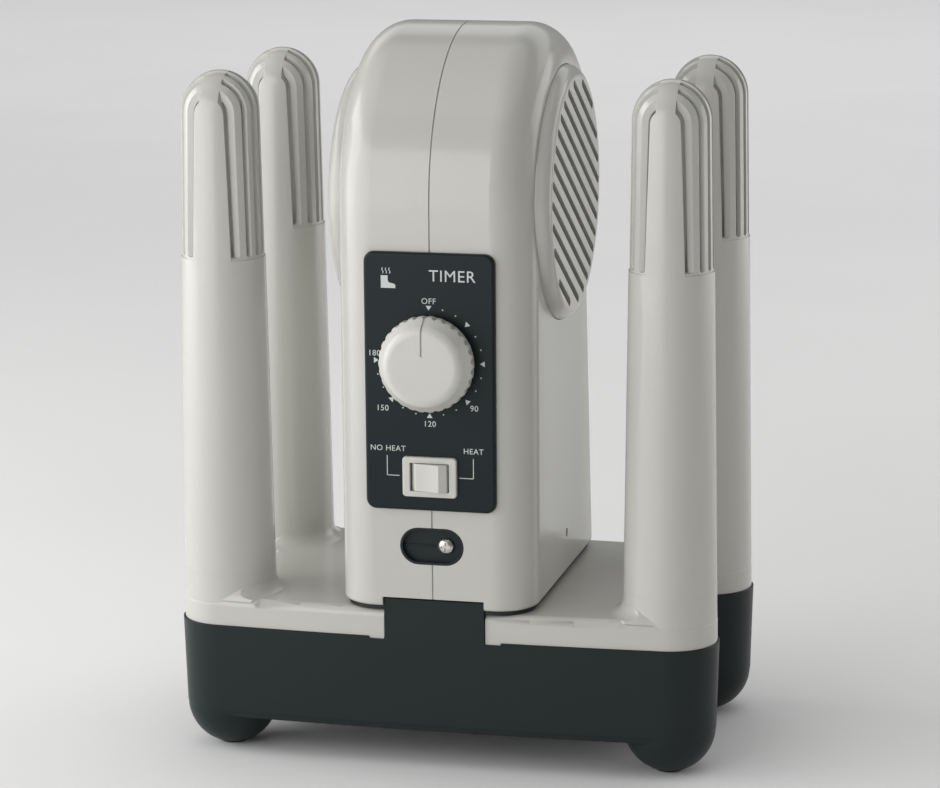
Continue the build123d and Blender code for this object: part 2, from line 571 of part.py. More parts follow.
def make_clamp_screw():
    """Pan-head cross-recess screw that clamps the tower front to the base plate."""
    head = lathe([(0, -11.4), (1.2, -11.4), (2.0, -10.0), (2.0, 0), (4.5, 0), (4.5, 1.0), (3.4, 2.2, "arc"),
                  (1.0, 2.8), (0, 2.8)])
    head -= Pos(0, 0, 2.8) * (Box(5.2, 1.1, 2.6) + Box(1.1, 5.2, 2.6))
    return Pos(CLAMP_X, -TOWER_R + CUP_DEPTH, CUP_Z) * FACING_FRONT * head


# ---------------------------------------------------------------- controls
def make_control_panel():
    mid_z = (PANEL_LOW_Z + PANEL_HIGH_Z) / 2
    thick = PANEL_PROUD + PANEL_RECESS
    body = slab(2 * PANEL_HALF, PANEL_HIGH_Z - PANEL_LOW_Z, thick, PANEL_CORNER_R)
    rim = body.edges().filter_by(lambda e: e.center().Z > thick - 0.01)
    body = fillet(rim, 1.5)
    body -= Pos(0, DIAL_Z - mid_z, 0) * Cylinder(5.3, 20)
    for sx in (-1, 1):
        body -= Pos(sx * 14, DIAL_Z - mid_z, 0) * Cylinder(1.6, 20)
    body -= Pos(0, SWITCH_Z - mid_z, 0) * Box(27.2, 19.2, 20)
    return Pos(0, -TOWER_R + PANEL_RECESS, mid_z) * FACING_FRONT * body


def make_timer_body():
    """Spring-wound timer behind the panel, with its threaded bush through the tower wall."""
    back = -TOWER_R + WALL
    body = block(-22, 22, back, back + 34, DIAL_Z - 23, DIAL_Z + 21)
    body = fillet(body.edges().filter_by(Axis.Y), 4)
    body += rod(5.2, (0, back, DIAL_Z), (0, PANEL_Y, DIAL_Z))
    body -= rod(TIMER_SHAFT_R + RUNNING_GAP, (0, back + 25, DIAL_Z), (0, PANEL_Y - 1, DIAL_Z))
    for sx in (-1, 1):
        body -= rod(1.5, (sx * 14, back - 1, DIAL_Z), (sx * 14, back + 8, DIAL_Z))
        body += block(sx * 10 - 3, sx * 10 + 3, back + 34, back + 40, DIAL_Z + 4, DIAL_Z + 4.8)
    return body


def make_timer_screws():
    screws = []
    for sx in (-1, 1):
        screw = lathe([(0, 0), (1.5, 0), (1.5, 10.0), (2.8, 10.0), (2.8, 11.2), (2.0, 11.9), (0, 11.9)])
        screw -= Pos(0, 0, 11.9) * Box(4, 0.7, 1.4)
        screws.append(Pos(sx * 14, PANEL_Y + 10.0, DIAL_Z) * FACING_FRONT * screw)
    return screws


def make_timer_shaft():
    start = -TOWER_R + WALL + 24.6
    body = rod(TIMER_SHAFT_R, (0, start, DIAL_Z), (0, PANEL_Y - 13.0, DIAL_Z))
    body -= block(-4, 4, PANEL_Y - 14, PANEL_Y - 2.0, DIAL_Z - 4, DIAL_Z - 2.0)
    return body


def make_timer_knob():
    """Hollow fluted cap; local Z is the distance in front of the panel."""
    low = KNOB_GAP
    rim = KNOB_RIM_R
    top = KNOB_HEIGHT
    body = lathe([(0, low + 3), (22.4, low + 3), (22.4, low), (rim - 1.2, low), (rim, 4.4), (rim, 8.0),
                  (rim - 0.7, 9.4), (22.6, 13.6), (20.7, 15.9, "arc"), (KNOB_FACE_R, top), (0, top)])
    for k in range(KNOB_FLUTES):
        flute = Pos(rim + 1.05, 0, 4.9) * Cylinder(1.9, 10.0)
        body -= Rot(0, 0, 360 / KNOB_FLUTES * (k + 0.5)) * flute
    body -= lathe([(6.0, low - 1), (22.4, low - 1), (21.8, 7.4), (17.0, 13.2), (6.0, 13.2)])
    body += lathe([(TIMER_SHAFT_R, 0.9), (6.0, 0.9), (6.0, 14), (TIMER_SHAFT_R, 14)])
    bore = Cylinder(TIMER_SHAFT_R, 13.0, align=(Align.CENTER, Align.CENTER, Align.MIN))
    flat = Pos(0, -3.5, 7.5) * Box(8, 3.0, 11)
    body -= bore - flat
    # pointer groove, 0.8 deep, from near the middle to the rim
    below = lathe([(0, 0), (rim - 0.8, 0), (rim - 0.8, 7.8), (rim - 1.4, 9.0), (21.9, 13.1),
                   (20.1, 15.2, "arc"), (KNOB_FACE_R - 0.3, top - 0.8), (0, top - 0.8)])
    body -= Pos(0, 16.5, 10) * Box(1.1, 21, 18) - below
    return Pos(0, PANEL_Y, DIAL_Z) * FACING_FRONT * body


def make_switch_frame():
    """Snap-in switch: bezel on the panel and an open body behind it. Local Z points out."""
    body = slab(SWITCH_W, SWITCH_H, SWITCH_BEZEL, 2.0)
    body = fillet(body.edges().filter_by(lambda e: e.center().Z > SWITCH_BEZEL - 0.01), 0.9)
    body += Pos(0, 0, -11) * Box(27, 19, 22)
    well = Pos(0, 0, -3) * Box(2 * ROCKER_HALF_W + 1.2, 2 * ROCKER_HALF_H + 0.7, 14)
    body -= well
    pivot = -(PIVOT_Y - PANEL_Y)
    body -= rod(1.5 + RUNNING_GAP, (0, -9.2, pivot), (0, 9.2, pivot))
    return Pos(0, PANEL_Y, SWITCH_Z) * FACING_FRONT * body


def make_switch_terminals():
    blades = []
    for k in (-1, 0, 1):
        x = 8.0 * k
        y = PANEL_Y + 22
        blades.append(block(x - 0.4, x + 0.4, y, y + 8, SWITCH_Z - 2.4, SWITCH_Z + 2.4))
    return blades


def make_rocker():
    """Rocker cap with a hollow face, drawn level and then tipped to its left-hand position."""
    half_w = ROCKER_HALF_W
    left_crest = (-ROCKER_CREST_X, ROCKER_CREST)
    right_crest = (ROCKER_CREST_X, ROCKER_CREST)
    skirt = Polyline(right_crest, (half_w, ROCKER_END), (half_w, -3.0), (5.0, -4.4), (-5.0, -4.4),
                     (-half_w, -3.0), (-half_w, ROCKER_END), left_crest)
    outline = make_face([skirt, ThreePointArc(left_crest, (0, ROCKER_VALLEY), right_crest)])
    body = extrude(outline, ROCKER_HALF_H, both=True)
    crests = body.edges().filter_by(Axis.Z).filter_by(lambda e: e.center().Y > ROCKER_CREST - 0.01)
    body = fillet(crests, 0.8)
    for sz in (-1, 1):
        body += rod(1.5, (0, 0, 0), (0, 0, sz * 9.0))
    # local X stays, local Y points out of the panel, local Z is the hinge direction
    body = Rot(0, 0, ROCKER_TILT) * body
    return Pos(0, PIVOT_Y, SWITCH_Z) * mirror(body, about=Plane.XZ)


# ---------------------------------------------------------------- blower and motor
def make_blower_wheel():
    """Double-inlet wheel about local Z: a web, two end rings and forward-curved blades."""
    inner_r, half = 40.5, 29.0
    body = Cylinder(WHEEL_R - 3, 2.0) + Cylinder(8, 12)
    for sz in (-1, 1):
        body += Pos(0, 0, sz * (half - 1)) * (Cylinder(WHEEL_R, 2) - Cylinder(WHEEL_R - 3, 2))
    blade_arc = ThreePointArc((inner_r, 0), (45.5, 2.6), (WHEEL_R - 0.8, 8.0))
    outer_arc = ThreePointArc((inner_r, 1.2), (45.0, 3.7), (WHEEL_R - 1.6, 8.9))
    section = make_face([blade_arc, Line(blade_arc @ 1, outer_arc @ 1), outer_arc,
                         Line(outer_arc @ 0, blade_arc @ 0)])
    blade = extrude(section, half - 0.5, both=True)
    blades = [Rot(0, 0, 360 / WHEEL_BLADES * k) * blade for k in range(WHEEL_BLADES)]
    body = body + blades
    body -= Cylinder(MOTOR_SHAFT_R, 20)
    return Pos(0, 0, BLOWER_Z) * FACING_RIGHT * body


def make_motor_shaft():
    return rod(MOTOR_SHAFT_R, (-8, 0, BLOWER_Z), (38.5, 0, BLOWER_Z))


def make_motor_rotor():
    body = rod(9.5, (13, 0, BLOWER_Z), (31, 0, BLOWER_Z))
    return body - rod(MOTOR_SHAFT_R, (10, 0, BLOWER_Z), (33, 0, BLOWER_Z))


def make_motor_stator():
    z = BLOWER_Z
    body = block(12, 32, -16, 16, z - 32, z + 18)
    body -= rod(10, (11, 0, z), (33, 0, z))
    body -= block(11, 33, -9, 9, z - 24, z - 14)
    for y in (-12.5, 12.5):
        body -= rod(1.6, (11, y, z + 14), (33, y, z + 14))
        body -= rod(1.6, (11, y, z - 11.5), (33, y, z - 11.5))
    return body


def make_motor_coil():
    z = BLOWER_Z
    body = block(8.5, 35.5, -8.5, 8.5, z - 36, z - 14.4)
    body = fillet(body.edges().filter_by(Axis.X), 1.5)
    return body - block(12, 32, -16, 16, z - 32, z - 24)


def make_motor_brackets():
    z = BLOWER_Z
    plates = []
    for x0, x1 in ((8, 10), (34, 36)):
        plate = block(x0, x1, -16, 16, z - 13.9, z + 18)
        plate -= rod(4.5, (x0 - 1, 0, z), (x1 + 1, 0, z))
        for y in (-12.5, 12.5):
            for dz in (14, -11.5):
                plate -= rod(1.6, (x0 - 1, y, z + dz), (x1 + 1, y, z + dz))
        plates.append(plate)
    # three arms from the outer plate to the side of the blower housing
    arms = plates[1]
    for angle in (90, 210, 330):
        a = radians(angle)
        arm = block(36, 38, -4, 4, 12, 46)
        arms += Pos(0, 0, z) * Rot(angle - 90, 0, 0) * arm
    return [plates[0], arms]


def make_motor_bolts():
    z = BLOWER_Z
    bolts = []
    for y in (-12.5, 12.5):
        for dz in (14, -11.5):
            bolt = rod(1.6, (8, y, z + dz), (36, y, z + dz)) + rod(2.9, (6.2, y, z + dz), (8, y, z + dz))
            bolts.append(bolt)
    return bolts


def make_motor_bushes():
    z = BLOWER_Z
    bushes = []
    for x0, x1 in ((8, 11.5), (32.5, 36)):
        bush = rod(4.5, (x0, 0, z), (x1, 0, z))
        bush -= rod(MOTOR_SHAFT_R + RUNNING_GAP, (x0 - 1, 0, z), (x1 + 1, 0, z))
        bushes.append(bush)
    return bushes


def volute(radius, grow, x0, x1):
    """Scroll outline, eccentric to the wheel, with its outlet going down into the duct."""
    scroll = rod(radius, (x0, 6, BLOWER_Z - 2), (x1, 6, BLOWER_Z - 2))
    outlet = block(x0, x1, DUCT_Y0 - grow, DUCT_Y1 + grow, DUCT_TOP_Z, BLOWER_Z - 2)
    return scroll + outlet


def make_blower_housing():
    half = DUCT_HALF_X + DUCT_WALL
    body = volute(60, DUCT_WALL, -half, half) - volute(58, 0, -DUCT_HALF_X, DUCT_HALF_X)
    body -= rod(37, (-60, 0, BLOWER_Z), (60, 0, BLOWER_Z))
    body -= block(-DUCT_HALF_X, DUCT_HALF_X, DUCT_Y0, DUCT_Y1, DUCT_TOP_Z - 1, DUCT_TOP_Z + 10)
    left = body & block(-60, 0, -100, 100, 200, 400)
    right = body & block(0, 60, -100, 100, 200, 400)
    return left, right


# ---------------------------------------------------------------- heater
def make_heater_duct():
    half = DUCT_HALF_X + DUCT_WALL
    z0 = TOWER_BOTTOM_Z + WALL
    body = block(-half, half, DUCT_Y0 - DUCT_WALL, DUCT_Y1 + DUCT_WALL, z0, DUCT_TOP_Z)
    body -= block(-DUCT_HALF_X, DUCT_HALF_X, DUCT_Y0, DUCT_Y1, z0 - 1, DUCT_TOP_Z + 1)
    return body


def heating_rings(grow):
    """Ribbon turns wound round the edges of the crossed boards, grown by grow for the notches."""
    mid_y = (DUCT_Y0 + DUCT_Y1) / 2
    rings = []
    for k in range(8):
        z = 134 + 9 * k
        a, b = 29.0 + grow, 25.0 + grow
        outer = make_face(Polyline((a, 0), (0, b), (-a, 0), (0, -b), close=True))
        c, d = 28.0 - grow, 24.0 - grow
        inner = make_face(Polyline((c, 0), (0, d), (-c, 0), (0, -d), close=True))
        height = 3.0 + 2 * grow
        rings.append(Pos(0, mid_y, z - grow) * (extrude(outer, height) - extrude(inner, height)))
    return rings


def make_heater_frame():
    mid_y = (DUCT_Y0 + DUCT_Y1) / 2
    body = block(-DUCT_HALF_X, DUCT_HALF_X, mid_y - 0.6, mid_y + 0.6, 128, 206)
    body += block(-0.6, 0.6, DUCT_Y0, DUCT_Y1, 128, 206)
    for ring in heating_rings(0.1):
        body -= ring
    return body


def make_thermal_cutout():
    y = DUCT_Y0 - DUCT_WALL
    body = rod(8, (0, y, 216), (0, y - 4, 216)) + rod(6.5, (0, y - 4, 216), (0, y - 8, 216))
    for sx in (-1, 1):
        body += block(sx * 4 - 0.4, sx * 4 + 0.4, y - 15, y - 7.5, 213.5, 218.5)
    body += block(-13, 13, y - 1.0, y, 212.5, 219.5)
    return body


# ---------------------------------------------------------------- write every piece
def collect():
    tower_left, tower_right = make_tower()
    housing_left, housing_right = make_blower_housing()
    right_grille = make_grille()
    tube = make_tube()
    nodes = {
        "base_shell": make_base_shell(),
        "rubber_feet": make_rubber_feet(),
        "deck": make_deck(),
        "deck_screws": make_deck_screws(),
        "cord_gland": make_cord_gland(),
        "cord_clamp": make_cord_clamp(),
        "terminal_block": make_terminal_block(),
        "tower_left_shell": tower_left,
        "tower_right_shell": tower_right,
        "tower_gasket": make_tower_gasket(),
        "tower_base_plate": make_tower_base_plate(),
        "plate_screws": make_plate_screws(),
        "tower_screws": make_tower_screws(),
        "recess_cup": make_recess_cup(),
        "clamp_screw": make_clamp_screw(),
        "right_intake_grille": right_grille,
        "left_intake_grille": mirror(right_grille, about=Plane.YZ),
        "control_panel": make_control_panel(),
        "timer_body": make_timer_body(),
        "timer_screws": make_timer_screws(),
        "timer_shaft": make_timer_shaft(),
        "timer_knob": make_timer_knob(),
        "switch_frame": make_switch_frame(),
        "switch_terminals": make_switch_terminals(),
        "rocker_button": make_rocker(),
        "blower_wheel": make_blower_wheel(),
        "motor_shaft": make_motor_shaft(),
        "motor_rotor": make_motor_rotor(),
        "motor_stator": make_motor_stator(),
        "motor_coil": make_motor_coil(),
        "motor_brackets": make_motor_brackets(),
        "motor_bolts": make_motor_bolts(),
        "motor_bushes": make_motor_bushes(),
        "blower_housing_left": housing_left,
        "blower_housing_right": housing_right,
        "heater_duct": make_heater_duct(),
        "heater_frame": make_heater_frame(),
        "heating_ribbon": heating_rings(0),
        "thermal_cutout": make_thermal_cutout(),
    }
    for name, (x, y) in {"front_left": (-1, -1), "front_right": (1, -1),
                         "rear_left": (-1, 1), "rear_right": (1, 1)}.items():
        nodes[name + "_tube"] = Pos(x * TUBE_X, y * TUBE_Y) * tube
    return nodes


def main():
    os.makedirs("parts", exist_ok=True)
    for name, shape in collect().items():
        pieces = shape if isinstance(shape, list) else [shape]
        solids = [Pos(0, 0, DATUM_Z) * solid for piece in pieces for solid in piece.solids()]
        export_step(Compound(children=solids), "parts/" + name + ".step")


main()
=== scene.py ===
"""Boot dryer: materials, printed panel, floor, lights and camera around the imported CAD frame.

Lengths are in metres, in the frame of the CAD model: +Z up, and the control panel faces -Y.
"""
import json
import math

import bpy
from mathutils import Matrix, Vector


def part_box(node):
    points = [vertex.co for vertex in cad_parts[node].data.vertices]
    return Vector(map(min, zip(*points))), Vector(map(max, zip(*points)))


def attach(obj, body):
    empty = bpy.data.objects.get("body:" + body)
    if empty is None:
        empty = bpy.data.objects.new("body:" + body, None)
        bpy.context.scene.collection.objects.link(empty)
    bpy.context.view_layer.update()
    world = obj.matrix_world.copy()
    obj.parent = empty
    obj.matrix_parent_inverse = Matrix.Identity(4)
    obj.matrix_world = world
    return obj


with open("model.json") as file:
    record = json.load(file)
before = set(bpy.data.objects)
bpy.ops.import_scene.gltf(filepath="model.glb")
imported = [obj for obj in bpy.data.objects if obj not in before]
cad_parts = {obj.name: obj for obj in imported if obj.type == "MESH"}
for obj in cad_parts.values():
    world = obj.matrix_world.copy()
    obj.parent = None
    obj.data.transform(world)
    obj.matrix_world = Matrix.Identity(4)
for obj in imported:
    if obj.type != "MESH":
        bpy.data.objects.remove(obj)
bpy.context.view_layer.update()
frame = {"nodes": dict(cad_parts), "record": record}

MM = 0.001

# ---------------------------------------------------------------- places taken from the frame
PANEL_LOW, PANEL_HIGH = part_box("control_panel")
KNOB_LOW, KNOB_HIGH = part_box("timer_knob")
FRAME_LOW, FRAME_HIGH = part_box("switch_frame")
PANEL_Y = PANEL_LOW.y
DIAL = Vector((0.0, PANEL_Y, (KNOB_LOW.z + KNOB_HIGH.z) / 2))
SWITCH = Vector((0.0, PANEL_Y, (FRAME_LOW.z + FRAME_HIGH.z) / 2))

# ---------------------------------------------------------------- print on the panel
PRINT_THICK = 0.06 * MM
CAPITAL_SHARE = 0.7              # height of a capital as a share of the font size
LETTER_SPACING = 1.08
DIAL_SWEEP = 270                 # degrees from off to the last mark, 180 minutes
DIAL_RING = 28.9 * MM            # ring of dots and arrows round the knob
ARROW_STEP = 45                  # one arrow per half hour
ARROW_TIP = DIAL_RING - 0.9 * MM
ARROW_BACK = DIAL_RING + 1.7 * MM
ARROW_HALF_WIDTH = 1.6 * MM
DOT_STEP = 15                    # one dot per ten minutes
DOT_RING = DIAL_RING + 0.6 * MM
DOT_R = 0.42 * MM
DOT_CORNERS = 8
NUMBER_HEIGHT = 3.1 * MM
OFF_RISE = 32.9 * MM             # the word above the dial
# minutes, degrees from off, mm from the axis
NUMBERS = (("90", 135, 34.8), ("120", 180, 34.0), ("150", 225, 37.0), ("180", 277, 30.6))
SWITCH_LABEL_HEIGHT = 3.0 * MM
SWITCH_LABEL_RISE = 14.8 * MM
NO_HEAT_X = -23.4 * MM
HEAT_X = 24.0 * MM
LEAD_X = 23.9 * MM               # upright part of the line from a label to the switch
LEAD_RISE = 11.0 * MM
LEAD_WIDTH = 0.42 * MM
LEAD_ENDS = (("lead_left", -1, 17.2 * MM), ("lead_right", 1, 16.0 * MM))
TITLE_X = 13.0 * MM
TITLE_DROP = 12.4 * MM           # below the upper edge of the panel
TITLE_HEIGHT = 6.2 * MM
BOOT_X = -22.6 * MM
BOOT_DROP = 16.0 * MM
BOOT_OUTLINE = ((-3.6, 3.4), (0.2, 3.4), (0.2, 0.6), (1.0, -0.4), (3.6, -1.0), (4.4, -1.8),
                (4.4, -3.4), (-3.6, -3.4))           # mm
AIR_STREAMS = 3
AIR_X = -25.2 * MM
AIR_PITCH = 1.9 * MM
AIR_DROP = 11.6 * MM
AIR_HEIGHT = 3.2 * MM
AIR_HALF_WIDTH = 0.22 * MM
AIR_SWAY = 0.35 * MM
AIR_STEPS = 8

# ---------------------------------------------------------------- studio
FLOOR_HALF = 30.0
LIGHT_DISTANCE = 1.8
LIGHT_AIM = Vector((0, 0, 0.2))
SUN_ANGLE = math.radians(70)
BACKDROP_PLACE = (0, 3.6, 2.4)
BACKDROP_SIZE = (7.0, 3.0)
WORLD_STRENGTH = 0.21
CAMERA_AZIMUTH = math.radians(13.76)
CAMERA_ELEVATION = math.radians(11.93)
CAMERA_ROLL = math.radians(-0.45)
CAMERA_DISTANCE = 1.9023
CAMERA_AIM = Vector((-0.63 * MM, 0, 192.62 * MM))
CAMERA_LENS = 129.37
CAMERA_SENSOR = 36.0


# ================================================================ materials
PLASTIC_IOR = 1.5
COAT_ROUGHNESS = 0.12
BEVEL_SAMPLES = 6
WAVE_DISTORTION = 1.2
NOISE_LOW, NOISE_HIGH = 0.3, 0.7     # the usual span of a noise value
OFF_WHITE = (0.540, 0.535, 0.500)
CONTROL_WHITE = (0.600, 0.595, 0.555)
BASE_DARK = (0.0130, 0.0195, 0.0200)
PANEL_DARK = (0.0065, 0.0140, 0.0160)
INK_WHITE = (0.62, 0.65, 0.64)
FLOOR_GREYS = ((0.85, 0.85, 0.85), (0.87, 0.87, 0.87))


class Nodes:
    """A material's node tree with short calls to add and link nodes."""

    def __init__(self, name):
        self.material = bpy.data.materials.new(name)
        self.material.use_nodes = True
        self.tree = self.material.node_tree
        self.tree.nodes.clear()
        self.shader = self.add("ShaderNodeBsdfPrincipled")
        output = self.add("ShaderNodeOutputMaterial")
        self.link(self.shader.outputs["BSDF"], output.inputs["Surface"])
        self.place = self.add("ShaderNodeTexCoord").outputs["Object"]
        self.base_colour = self.shader.inputs["Base Color"]
        self.roughness = self.shader.inputs["Roughness"]
        self.normal = self.shader.inputs["Normal"]

    def add(self, kind, **values):
        node = self.tree.nodes.new(kind)
        for key, value in values.items():
            setattr(node, key, value)
        return node

    def link(self, source, target):
        self.tree.links.new(source, target)

    def noise(self, scale, detail, roughness=0.5, stretch=None):
        """Value noise in object space; stretch squeezes it along the axes."""
        node = self.add("ShaderNodeTexNoise")
        node.inputs["Scale"].default_value = scale
        node.inputs["Detail"].default_value = detail
        node.inputs["Roughness"].default_value = roughness
        place = self.place
        if stretch:
            mapping = self.add("ShaderNodeMapping")
            mapping.inputs["Scale"].default_value = stretch
            self.link(place, mapping.inputs["Vector"])
            place = mapping.outputs["Vector"]
        self.link(place, node.inputs["Vector"])
        return node.outputs["Fac"]

    def spread(self, source, low, high):
        """Map a noise value onto low to high."""
        node = self.add("ShaderNodeMapRange")
        for key, value in (("From Min", NOISE_LOW), ("From Max", NOISE_HIGH),
                           ("To Min", low), ("To Max", high)):
            node.inputs[key].default_value = value
        self.link(source, node.inputs["Value"])
        return node.outputs["Result"]

    def blend(self, factor, first, second):
        """Colour between first and second by factor."""
        node = self.add("ShaderNodeMix", data_type="RGBA")
        node.inputs[6].default_value = (*first, 1)
        node.inputs[7].default_value = (*second, 1)
        self.link(factor, node.inputs[0])
        return node.outputs[2]

    def bump(self, height, distance, strength, below=None):
        """Normal that follows a height value, laid over another normal if one is given."""
        node = self.add("ShaderNodeBump")
        node.inputs["Strength"].default_value = strength
        node.inputs["Distance"].default_value = distance
        self.link(height, node.inputs["Height"])
        if below:
            self.link(below, node.inputs["Normal"])
        return node.outputs["Normal"]

    def set(self, **values):
        """Fixed shader values, such as metallic or coat weight."""
        for key, value in values.items():
            self.shader.inputs[key.replace("_", " ")].default_value = value


def shade(colour, factor):
    """Colour made darker or lighter by a factor."""
    return tuple(c * factor for c in colour)


def plastic(name, colour, rough, grain_scale, grain_depth, coat=0.0, edge=0.35 * MM, specular=0.5):
    """Moulded plastic: faint colour drift, slightly uneven gloss, fine mould grain and soft edges."""
    m = Nodes(name)
    drift = m.spread(m.noise(scale=9, detail=2), 0, 1)
    tone = m.blend(drift, shade(colour, 0.985), shade(colour, 1.01))
    m.link(tone, m.base_colour)
    m.link(m.spread(m.noise(scale=25, detail=2), rough * 0.96, rough * 1.05), m.roughness)
    soft = m.add("ShaderNodeBevel", samples=BEVEL_SAMPLES)
    soft.inputs["Radius"].default_value = edge
    grain = m.bump(m.noise(grain_scale, detail=2), grain_depth, 0.35, soft.outputs["Normal"])
    m.link(grain, m.normal)
    m.set(IOR=PLASTIC_IOR, Specular_IOR_Level=specular, Coat_Weight=coat, Coat_Roughness=COAT_ROUGHNESS)
    return m.material


def metal(name, colour, rough, brush=(1, 1, 1), scale=300):
    """Metal with a brushed or cast grain that varies gloss and tone."""
    m = Nodes(name)
    grain = m.noise(scale, detail=4, roughness=0.6, stretch=brush)
    tone = m.blend(m.spread(grain, 0, 1), shade(colour, 0.82), shade(colour, 1.05))
    m.link(tone, m.base_colour)
    m.link(m.spread(grain, rough * 0.75, rough * 1.3), m.roughness)
    m.link(m.bump(grain, 0.02 * MM, 0.4), m.normal)
    m.set(Metallic=1.0)
    return m.material


def rubber(name, colour):
    """Matt rubber with a fine grain and a slow change of tone."""
    m = Nodes(name)
    grain = m.noise(scale=900, detail=3, roughness=0.7)
    tone = m.blend(m.spread(m.noise(scale=40, detail=4), 0, 1), colour, shade(colour, 1.7))
    m.link(tone, m.base_colour)
    m.link(m.spread(grain, 0.6, 0.8), m.roughness)
    m.link(m.bump(grain, 0.03 * MM, 0.5), m.normal)
    return m.material


def fibre(name, colour, band, rough):
    """Board, tape or winding: fine parallel bands over a mottled ground."""
    m = Nodes(name)
    wave = m.add("ShaderNodeTexWave", bands_direction="X")
    wave.inputs["Scale"].default_value = band
    wave.inputs["Distortion"].default_value = WAVE_DISTORTION
    m.link(m.place, wave.inputs["Vector"])
    tone = m.blend(wave.outputs["Fac"], shade(colour, 0.8), shade(colour, 1.1))
    m.link(tone, m.base_colour)
    m.link(m.spread(m.noise(scale=120, detail=4), rough * 0.85, rough * 1.1), m.roughness)
    m.link(m.bump(wave.outputs["Fac"], 0.05 * MM, 0.4), m.normal)
    return m.material


MATERIALS = {
    "housing_plastic": plastic("housing_plastic", OFF_WHITE, 0.19, 1500, 0.006 * MM, coat=0.10),
    "control_plastic": plastic("control_plastic", CONTROL_WHITE, 0.30, 1800, 0.010 * MM, edge=0.25 * MM),
    "base_plastic": plastic("base_plastic", BASE_DARK, 0.40, 1300, 0.020 * MM, specular=0.22),
    "panel_plastic": plastic("panel_plastic", PANEL_DARK, 0.34, 1700, 0.014 * MM, specular=0.22),
    "dark_inner": plastic("dark_inner", (0.012, 0.012, 0.012), 0.55, 900, 0.02 * MM),
    "terminal_white": plastic("terminal_white", (0.66, 0.65, 0.60), 0.5, 900, 0.02 * MM),
    "rubber_black": rubber("rubber_black", (0.010, 0.010, 0.010)),
    "screw_steel": metal("screw_steel", (0.62, 0.61, 0.58), 0.28, scale=420),
    "brass_blade": metal("brass_blade", (0.72, 0.52, 0.22), 0.3, (1, 8, 8)),
    "duct_metal": metal("duct_metal", (0.62, 0.63, 0.64), 0.35, (6, 6, 1)),
    "lamination": metal("lamination", (0.30, 0.30, 0.31), 0.5, (30, 1, 1)),
    "heating_wire": metal("heating_wire", (0.35, 0.30, 0.27), 0.45),
    "motor_steel": metal("motor_steel", (0.60, 0.60, 0.60), 0.25, (1, 10, 10)),
    "mica_board": fibre("mica_board", (0.55, 0.47, 0.33), 60, 0.6),
    "winding": fibre("winding", (0.42, 0.17, 0.06), 900, 0.4),
}


def paint_nodes():
    """Give every CAD node the material of its slot."""
    for part in frame["record"]["subparts"]:
        mesh = frame["nodes"][part["node"]].data
        mesh.materials.clear()
        mesh.materials.append(MATERIALS[part["material_slot"]])


def ink():
    """Screen-printed white ink, a little uneven."""
    m = Nodes("panel_ink")
    mottle = m.noise(scale=2500, detail=2)
    m.link(m.blend(m.spread(mottle, 0, 1), shade(INK_WHITE, 0.86), INK_WHITE), m.base_colour)
    m.link(m.spread(mottle, 0.42, 0.6), m.roughness)
    return m.material


INK = ink()


# ================================================================ printed marks
def print_piece(name, obj):
    """Finish a printed mark: named, in ink, riding on the housing."""
    obj.name = name
    obj.data.name = name
    obj.data.materials.clear()
    obj.data.materials.append(INK)
    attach(obj, "housing")


def to_mesh(curve_obj, place):
    """Turn a curve or text into a mesh piece that stands on the panel at place."""
    bpy.context.view_layer.update()
    depsgraph = bpy.context.evaluated_depsgraph_get()
    mesh = bpy.data.meshes.new_from_object(curve_obj.evaluated_get(depsgraph))
    bpy.data.objects.remove(curve_obj)
    mesh.transform(Matrix.Translation(place) @ Matrix.Rotation(math.pi / 2, 4, "X"))
    obj = bpy.data.objects.new("mark", mesh)
    bpy.context.scene.collection.objects.link(obj)
    return obj


def on_panel(x, z):
    """Point on the front of the panel, lifted by half the ink."""
    return Vector((x, PANEL_Y - PRINT_THICK / 2, z))


def printed_text(name, words, x, z, height):
    """Words centred on a point of the panel."""
    curve = bpy.data.curves.new(name, "FONT")
    curve.body = words
    curve.size = height / CAPITAL_SHARE
    curve.align_x = "CENTER"
    curve.align_y = "CENTER"
    curve.extrude = PRINT_THICK / 2
    curve.space_character = LETTER_SPACING
    obj = bpy.data.objects.new(name, curve)
    bpy.context.scene.collection.objects.link(obj)
    print_piece(name, to_mesh(obj, on_panel(x, z)))


def outline_mark(name, outlines, x, z):
    """Flat mark from closed outlines of (x, z) points, placed from a point of the panel."""
    curve = bpy.data.curves.new(name, "CURVE")
    curve.dimensions = "2D"
    curve.fill_mode = "BOTH"
    curve.extrude = PRINT_THICK / 2
    for points in outlines:
        spline = curve.splines.new("POLY")
        spline.points.add(len(points) - 1)
        for point, (px, pz) in zip(spline.points, points):
            point.co = (px, pz, 0, 1)
        spline.use_cyclic_u = True
    obj = bpy.data.objects.new(name, curve)
    bpy.context.scene.collection.objects.link(obj)
    print_piece(name, to_mesh(obj, on_panel(x, z)))


def bar(x0, z0, x1, z1, width):
    """Corner points of a straight bar between two points."""
    along = Vector((x1 - x0, z1 - z0)).normalized()
    across = Vector((-along.y, along.x)) * width / 2
    a, b = Vector((x0, z0)), Vector((x1, z1))
    return [tuple(a - across), tuple(b - across), tuple(b + across), tuple(a + across)]


def ring_point(angle, radius):
    """Point at a clockwise angle from the top of the dial."""
    a = math.radians(angle)
    return radius * math.sin(a), radius * math.cos(a)


